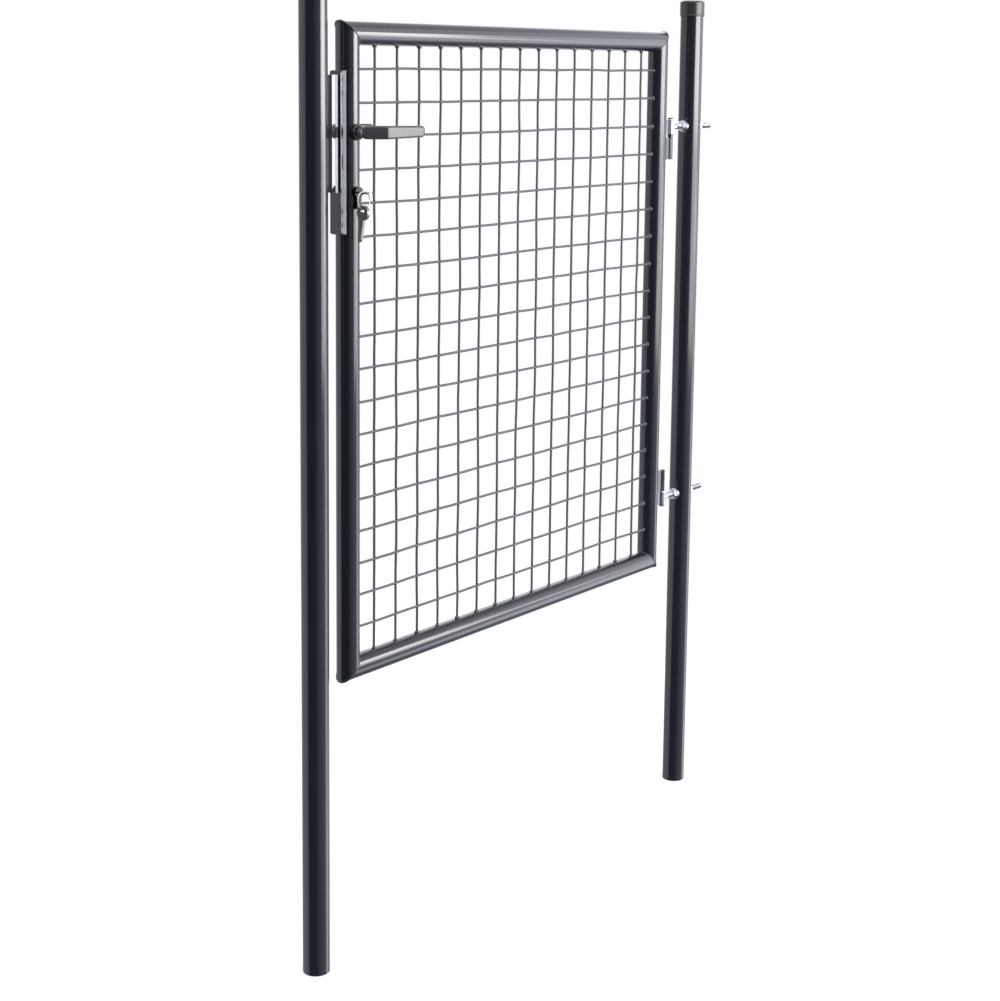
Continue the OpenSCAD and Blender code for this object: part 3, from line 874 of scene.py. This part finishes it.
class GATE_OT_hinges(bpy.types.Operator):
    """Makes the threaded eye-bolts with their nuts and washers, and the welded hinge pins"""

    bl_idname = "gate.hinges"
    bl_label = "Hinges"

    def execute(self, context):
        for end in ("upper", "lower"):
            eye_bolt = eye_bolt_part(end)
            piece(f"{end}_eye_bolt_threaded", eye_bolt, "zinc", "posts", [f"{end}_eye_bolt"], sharp=50)
            nuts = [f"{end}_inner_nut", f"{end}_outer_nut"]
            piece(f"{end}_hex_nuts", join(*map(nut_part, nuts)), "zinc", "posts", nuts, sharp=22)
            washers = [f"{end}_inner_washer", f"{end}_outer_washer"]
            piece(f"{end}_saddle_washers", copied(*washers), "zinc", "posts", washers, bevel=0.35, sharp=40)
            carriers = [f"{end}_hinge_plate", f"{end}_hinge_pin"]
            welds = hinge_weld_parts(end)
            piece(f"{end}_pin_turned", pin_part(end), "paint", "leaf", carriers[1:])
            piece(f"{end}_pin_plate", copied(carriers[0]), "paint", "leaf", carriers[:1], bevel=0.4)
            piece(f"{end}_pin_welds", join(*welds), "paint", "leaf", sharp=60)
        return {"FINISHED"}


# ---------------------------------------------------------------- keep and lock


class GATE_OT_keep(bpy.types.Operator):
    """Makes the bent keep and the stitch welds that hold it"""

    bl_idname = "gate.keep"
    bl_label = "Keep"

    def execute(self, context):
        piece("latch_keep_sheet", copied("latch_keep"), "paint", "posts", ["latch_keep"], bevel=0.6)
        hi = box_mm("latch_keep")[1]
        post_r = POST_D / MM / 2
        flap_y = hi.y - 1.25
        x = POST_X["latch"] / MM + math.sqrt(post_r**2 - flap_y**2) + 0.4
        first, apart, half = 30, 63, 14
        stitches = []
        for number in range(3):
            z = hi.z - first - apart * number
            for side in (-1, 1):
                y = flap_y + side * 1.6
                stitches.append(bead([(x, y, z - half), (x, y, z + half)], 3.2, 20 + number))
        piece("latch_keep_welds", join(*stitches), "paint", "posts", sharp=60)
        return {"FINISHED"}


def socket_screw():
    """Countersunk head with a hexagon socket, facing +Z, its face at zero."""
    head = [(3.0, -1.2), (4.1, -0.15), (4.2, 0.1), (3.8, 0.28), (2.0, 0.3)]
    socket = [(hexagon(1.35), 0.2), (hexagon(1.25), -0.9)]
    return bridge([circle(r, h, 48) for r, h in [*head, *socket, (0.3, -1.0)]])


class GATE_OT_lock(bpy.types.Operator):
    """Makes the faceplate with its screws, both bolts, the profile cylinder and the roses"""

    bl_idname = "gate.lock"
    bl_label = "Lock"

    def execute(self, context):
        lo, hi = box_mm("lock_faceplate")
        outward = toward((-1, 0, 0))
        levels = [hi.z - 13, hi.z - 33, lo.z + 33, lo.z + 13]
        screws = [moved(socket_screw(), shift(lo.x, 0, z) @ outward) for z in levels]
        plate = copied("lock_faceplate")
        piece("lock_faceplate_eased", plate, "zinc", "leaf", ["lock_faceplate"], bevel=0.3, maker=satin_zinc)
        piece("lock_faceplate_screws", join(*screws), "zinc", "leaf", sharp=30)
        eased = [
            ("latch_bolt", "zinc", "latch", 0.7, bright_zinc),
            ("dead_bolt", "zinc", "bolt", 0.6, bright_zinc),
            ("lock_cylinder", "nickel", "leaf", 0.5, black_nickel),
            ("rear_plug", "nickel", "leaf", 0.3, black_nickel),
            ("cylinder_plug", "nickel", "key", 0.3, black_nickel),
        ]
        for node, slot, body, bevel, maker in eased:
            piece(f"{node}_eased", copied(node), slot, body, [node], bevel=bevel, maker=maker)
        tube_r = TUBE_D / MM / 2
        for side, node in ((-1, "front_rose"), (1, "rear_rose")):
            rose_lo, rose_hi = box_mm(node)
            r = (rose_hi.x - rose_lo.x) / 2
            face = max(abs(rose_lo.y), abs(rose_hi.y))
            seat = math.sqrt(tube_r**2 - r**2) - 2
            bore = 6.5
            rim = [(bore, seat), (r, seat), (r, face - 2.2), (r - 1.2, face)]
            profile = [*rim, (9.6, face), (9.2, face - 0.8), (bore, face - 0.8)]
            ring = moved(lathe(rounded(profile, 0.8, 3), 72, hollow=True), toward((0, side, 0)))
            place = shift(STILE_X["latch"] / MM, 0, SPINDLE_Z / MM)
            piece(f"{node}_turned", moved(ring, place), "handle", "leaf", [node], sharp=40, maker=cap_plastic)
        return {"FINISHED"}


# ---------------------------------------------------------------- levers


def lever_section(half_w, half_h, corner):
    """Rounded rectangle: thickness across, height up."""
    corner = min(corner, half_w * 0.96, half_h * 0.96)
    points = []
    for cx, cy, start in ((1, 1, 0), (-1, 1, 90), (-1, -1, 180), (1, -1, 270)):
        centre = (cx * (half_w - corner), cy * (half_h - corner))
        points += arc(centre, corner, start, start + 90, 7)
    return points


def lever_part(node):
    """A cast lever: out of its hub, round the knee and along to a rounded tip."""
    lo, hi = box_mm(node)
    side = -1 if lo.y < 0 else 1
    hardware = bpy.context.scene.gate_hardware
    thick, knee_x = hardware.lever_thickness / MM, hardware.knee / MM
    tip_half = hardware.lever_tip / MM / 2
    out, hub = max(abs(lo.y), abs(hi.y)), min(abs(lo.y), abs(hi.y))
    half_h = (hi.z - lo.z) / 2
    length = hi.x - STILE_X["latch"] / MM
    start = Vector((0, hub + thick / 2))
    knee = Vector((knee_x, out - thick / 2))
    tip = Vector((length, out - thick / 2))
    bend = rounded([tuple(start), tuple(knee), tuple(tip)], 2.2, 6, closed=False)
    stations = [Vector(bend[0]).lerp(Vector(bend[1]), t) for t in (0, 0.15, 0.4, 0.8)]
    stations += [Vector(p) for p in bend[1:-1]]
    last = Vector(bend[-2])
    cap = 5.6
    stations += [last.lerp(tip, t) for t in (0.1, 0.35, 0.6, 0.85)]
    for degrees in (0, 20, 38, 54, 68, 79, 87):
        stations.append(tip - Vector((cap * (1 - math.sin(math.radians(degrees))), 0)))
    stations.sort(key=lambda p: p.x)
    rings = []
    for i, place in enumerate(stations):
        before, after = stations[max(i - 1, 0)], stations[min(i + 1, len(stations) - 1)]
        along = (after - before).normalized()
        beyond = max(0.0, (place.x - knee.x) / (tip.x - knee.x))
        half = half_h + (tip_half - half_h) * beyond
        half = min(half, 7.6 + place.x * 0.55)
        end = max(0.0, (place.x - (tip.x - cap)) / cap)
        round_off = math.sqrt(max(0.0, 1 - end**2))
        tall = half - cap * (1 - round_off)
        wide = thick / 2 * (0.35 + 0.65 * round_off)
        ring = []
        for across, up in lever_section(wide, tall, 3.4):
            spot = place + Vector((-along.y, along.x)) * across
            ring.append((spot.x, side * spot.y, up))
        rings.append(ring)
    arm = bridge(rings)
    disc = [(0.5, 0), (half_h - 1, 0), (half_h - 1, 0.3 * thick), (half_h - 3, 0.75 * thick), (0.5, thick)]
    boss = moved(lathe(rounded(disc, 1.8, 5, closed=False), 72), toward((0, side, 0)))
    boss = moved(boss, shift(y=side * hub))
    return moved(join(arm, boss), shift(STILE_X["latch"] / MM, 0, SPINDLE_Z / MM))


class GATE_OT_levers(bpy.types.Operator):
    """Makes both cast lever handles"""

    bl_idname = "gate.levers"
    bl_label = "Lever handles"

    def execute(self, context):
        for node in ("front_lever", "rear_lever"):
            piece(f"{node}_cast", lever_part(node), "handle", "handle", [node], sharp=38)
        return {"FINISHED"}


# ---------------------------------------------------------------- keys


def key_outline(blade, cuts):
    """A key with its bow's hole at the origin and its blade along +Y, cut along one edge."""
    hardware = bpy.context.scene.gate_hardware
    r, off = hardware.bow / MM / 2, hardware.bow_shift / MM
    half = hardware.blade / MM / 2
    lean = math.degrees(math.asin(half / r))
    outline = arc((0, off), r, 90 + lean, 450 - lean, 44)
    end = off + r + blade
    if not cuts:
        return outline + [(half, end), (-half, end)]
    edge = [(half, end - 4.5), (0.8, end), (-0.8, end)]
    y = end - 5
    for cut in cuts:
        edge += [(-half + cut, y + 0.6), (-half + cut, y - 0.6), (-half + 0.6, y - 2.3)]
        y -= 4.2
    return outline + edge + [(-half, y - 1.5)]


def key_part(blade, cuts=()):
    hardware = bpy.context.scene.gate_hardware
    thick = hardware.key_thickness / MM / 2
    hole = arc((0, 0), hardware.bow_hole / MM / 2, 0, 360, 36)[:-1]
    return extruded(key_outline(blade, cuts), -thick, thick, [hole])


def split_ring(radius, wire, turns=72):
    """Two close coils of flattened wire in the XZ plane."""
    rings = []
    for i in range(2 * turns - 5):
        a = 2 * math.pi * i / turns
        t = min(1.0, max(0.0, (i / turns - 0.9) / 0.2))
        y = wire / 4 * (2 * (t * t * (3 - 2 * t)) - 1)
        ring = []
        for b in full_turn(10):
            r = radius + wire / 2 * 0.95 * math.cos(b)
            ring.append((r * math.cos(a), y + wire / 4 * 0.97 * math.sin(b), r * math.sin(a)))
        rings.append(ring)
    return bridge(rings)


class GATE_OT_keys(bpy.types.Operator):
    """Makes the key in the lock and the two spare keys on their split ring"""

    bl_idname = "gate.keys"
    bl_label = "Keys"

    def execute(self, context):
        hardware = context.scene.gate_hardware
        lo, hi = box_mm("door_key")
        hole_y = lo.y + hardware.bow / MM / 2 - hardware.bow_shift / MM
        reach = hi.y - hole_y - hardware.bow / MM / 2 - hardware.bow_shift / MM
        place = shift(STILE_X["latch"] / MM, hole_y, CYLINDER_Z / MM)
        piece("door_key_cut", moved(key_part(reach), place), "nickel", "key", ["door_key"], bevel=0.35)
        ring_lo, ring_hi = box_mm("key_ring")
        wire = ring_hi.y - ring_lo.y
        radius = (ring_hi.x - ring_lo.x - wire) / 2
        centre = (ring_lo + ring_hi) / 2
        ring = moved(split_ring(radius, wire), Matrix.Translation(centre))
        piece("key_ring_split", ring, "nickel", "ring", ["key_ring"])
        hang = centre.z - (radius + hardware.bow_hole / MM / 2 - wire / 2 - 0.15)
        lean = Matrix.Rotation(math.radians(hardware.key_lean - 90), 4, "X")
        flat = Matrix.Rotation(math.radians(90), 4, "Y")
        blade = hardware.blade_length / MM
        cuts = (1.6, 2.6, 1.2, 2.2, 1.8)
        for node in ("spare_key_1", "spare_key_2"):
            place = shift(middle_of(node).x / MM, centre.y, hang) @ lean @ flat
            piece(f"{node}_cut", moved(key_part(blade, cuts), place), "nickel", "ring", [node], bevel=0.35)
        return {"FINISHED"}


# ---------------------------------------------------------------- finishes and studio


class GATE_OT_finishes(bpy.types.Operator):
    """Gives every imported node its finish"""

    bl_idname = "gate.finishes"
    bl_label = "Finishes"

    def execute(self, context):
        slots = {part["node"]: part["material_slot"] for part in frame["record"]["subparts"]}
        for node, obj in frame["nodes"].items():
            for place in obj.material_slots:
                place.material = material_for(slots[node])
        return {"FINISHED"}


class GATE_OT_stage(bpy.types.Operator):
    """Makes the floor, the lamps, the world and the camera"""

    bl_idname = "gate.stage"
    bl_label = "Studio"

    def execute(self, context):
        scene = context.scene
        stage = scene.gate_stage
        scene.view_settings.view_transform = "Standard"
        make_floor()
        make_world(scene)
        make_lamps()
        data = bpy.data.cameras.new("camera")
        data.lens = stage.lens
        data.sensor_width = 36
        data.shift_y = stage.lift
        camera = placed("camera", data)
        turn = Matrix.Rotation(stage.heading - math.pi / 2, 4, "Z")
        fall = Matrix.Rotation(math.pi / 2 - stage.tilt, 4, "X")
        roll = Matrix.Rotation(stage.roll, 4, "Z")
        camera.matrix_world = Matrix.Translation(stage.place) @ turn @ fall @ roll
        scene.camera = camera
        return {"FINISHED"}


def fade(tree, value, start, full, low=0.0, high=1.0):
    """Fades softly from low to high as a value goes from start to full."""
    ends = {"From Min": start, "From Max": full, "To Min": low, "To Max": high}
    made = add(tree, "ShaderNodeMapRange", {"interpolation_type": "SMOOTHSTEP", **ends}, {"Value": value})
    return made.outputs["Result"]


def make_floor():
    """White paper: it keeps a soft shadow near the gate and turns to plain white further off."""
    made, tree, place = new_material("white_studio_paper")
    x = middle_of("mesh_panel").x
    away = add(tree, "ShaderNodeVectorMath", {"operation": "DISTANCE", 1: (x, 0, 0)}, {0: place})
    far = fade(tree, away.outputs["Value"], 0.9, 2.2, 0.62, 1.0)
    seen = add(tree, "ShaderNodeLightPath").outputs["Is Camera Ray"]
    share = add(tree, "ShaderNodeMath", {"operation": "MULTIPLY"}, {0: far, 1: seen}).outputs["Value"]
    normal = grain(tree, place, 1 / 900, 0.05, 0.1 * MM, detail=2.0)
    paper = add(tree, "ShaderNodeBsdfDiffuse", {"Color": (0.86, 0.86, 0.86, 1)}, {"Normal": normal})
    glow = add(tree, "ShaderNodeEmission", {"Color": (1, 1, 1, 1), "Strength": 1.0})
    links = {0: share, 1: paper.outputs["BSDF"], 2: glow.outputs["Emission"]}
    mix = add(tree, "ShaderNodeMixShader", links=links)
    add(tree, "ShaderNodeOutputMaterial", links={"Surface": mix.outputs["Shader"]})
    mesh = bpy.data.meshes.new("floor")
    reach = 3.0
    corners = [(x - reach, -reach, 0), (x + reach, -reach, 0), (x + reach, reach, 0), (x - reach, reach, 0)]
    mesh.from_pydata(corners, [], [(0, 1, 2, 3)])
    mesh.materials.append(made)
    floor = placed("floor", mesh)
    floor.visible_glossy = False


def make_world(scene):
    """Plain white to the camera. Light and reflections meet a grey room with one dark screen, a
    bright band above eye level and a dim ground. A lit slot draws the thin line down the tubes."""
    world = bpy.data.worlds.new("studio")
    scene.world = world
    world.use_nodes = True
    tree = world.node_tree
    tree.nodes.clear()
    sight = add(tree, "ShaderNodeTexCoord").outputs["Generated"]
    axes = add(tree, "ShaderNodeSeparateXYZ", links={"Vector": sight}).outputs
    angle = add(tree, "ShaderNodeMath", {"operation": "ARCTAN2"}, {0: axes["Y"], 1: axes["X"]})
    turns = add(tree, "ShaderNodeMath", {"operation": "DIVIDE", 1: 2 * math.pi}, {0: angle.outputs["Value"]})
    around = add(tree, "ShaderNodeMath", {"operation": "FRACT"}, {0: turns.outputs["Value"]})
    walls = add(tree, "ShaderNodeValToRGB", links={"Fac": around.outputs["Value"]})
    brightest = 4.0
    # Degrees from +X and how bright the wall is there
    levels = [(0, 1.2), (35, 1.5), (55, 1.0), (80, 0.6), (115, 0.95), (155, 1.1), (163, 0.03), (232, 0.03),
              (246, 0.3), (275, 0.5), (300, 0.7), (318, 1.0), (322, 4.0), (334, 4.0), (341, 1.0), (360, 1.2)]
    stops = walls.color_ramp.elements
    stops[1].position = 1.0
    for degrees, level in levels[1:-1]:
        stops.new(degrees / 360)
    for stop, (degrees, level) in zip(stops, levels):
        shade = level / brightest
        stop.color = (shade * 0.96, shade * 0.98, shade * 1.06, 1)
    lit = add(
        tree, "ShaderNodeVectorMath", {"operation": "SCALE", "Scale": brightest}, {0: walls.outputs["Color"]}
    )
    room = lit.outputs["Vector"]
    # Heights of sight between which each colour fades in
    bands = [
        (0.08, 0.3, (2.2, 2.25, 2.35, 1)),
        (0.45, 0.62, (1.05, 1.07, 1.12, 1)),
        (-0.4, -0.75, (0.3, 0.31, 0.33, 1)),
    ]
    for start, full, colour in bands:
        share = fade(tree, axes["Z"], start, full)
        mixed = add(tree, "ShaderNodeMix", {"data_type": "RGBA", 7: colour}, {0: share, 6: room})
        room = mixed.outputs[2]
    light = add(tree, "ShaderNodeBackground", links={"Color": room})
    paper = add(tree, "ShaderNodeBackground", {"Color": (1, 1, 1, 1), "Strength": 1.0})
    path = add(tree, "ShaderNodeLightPath")
    links = {0: path.outputs["Is Camera Ray"], 1: light.outputs[0], 2: paper.outputs[0]}
    seen = add(tree, "ShaderNodeMixShader", links=links)
    add(tree, "ShaderNodeOutputWorld", links={"Surface": seen.outputs[0]})


def make_lamps():
    """A window of light in two panes, one above the other, before the gate's front, a low strip,
    and an overhead panel."""
    # Name, place, facing, width, height and power
    lamps = [
        ("upper_window", (0.45, -1.75, 1.5), (-0.05, 1, 0), 1.75, 0.62, 41),
        ("lower_window", (0.45, -1.75, 0.87), (-0.05, 1, 0), 1.75, 0.62, 17),
        ("low_strip", (1.55, -1.8, 0.9), (-0.3, 1, 0), 0.7, 0.3, 3.3),
        ("overhead_panel", (-0.5, -0.3, 3.6), (0, 0, -1), 2.6, 2.0, 25),
    ]
    for name, place, facing, width, height, power in lamps:
        data = bpy.data.lights.new(name, "AREA")
        data.shape = "RECTANGLE"
        data.size, data.size_y, data.energy = width, height, power
        lamp = placed(name, data)
        lamp.location = place
        up = "Y" if name == "overhead_panel" else "Z"
        lamp.rotation_euler = Vector(facing).to_track_quat("-Z", up).to_euler()
        lamp.visible_camera = False


class GATE_PT_panel(bpy.types.Panel):
    """Lists the gate's pieces"""

    bl_idname = "GATE_PT_panel"
    bl_label = "Garden gate"
    bl_space_type = "VIEW_3D"
    bl_region_type = "UI"
    bl_category = "Gate"

    def draw(self, context):
        for group in SETTINGS:
            settings = getattr(context.scene, group)
            for name in settings.__annotations__:
                self.layout.prop(settings, name)
        for operator in OPERATORS:
            self.layout.operator(operator.bl_idname)


SETTINGS = {
    "gate_paint": GatePaintSettings,
    "gate_mesh": GateMeshSettings,
    "gate_hardware": GateHardwareSettings,
    "gate_stage": GateStageSettings,
}
OPERATORS = [
    GATE_OT_stage,
    GATE_OT_posts,
    GATE_OT_leaf_frame,
    GATE_OT_wire_mesh,
    GATE_OT_hinges,
    GATE_OT_keep,
    GATE_OT_lock,
    GATE_OT_levers,
    GATE_OT_keys,
    GATE_OT_finishes,
]


def register():
    for made in [*SETTINGS.values(), *OPERATORS, GATE_PT_panel]:
        bpy.utils.register_class(made)
    for name, made in SETTINGS.items():
        setattr(bpy.types.Scene, name, PointerProperty(type=made))


def unregister():
    for name in SETTINGS:
        delattr(bpy.types.Scene, name)
    for made in reversed([*SETTINGS.values(), *OPERATORS, GATE_PT_panel]):
        bpy.utils.unregister_class(made)


def main():
    register()
    for operator in OPERATORS:
        group, name = operator.bl_idname.split(".")
        getattr(getattr(bpy.ops, group), name)()


if __name__ == "__main__":
    main()
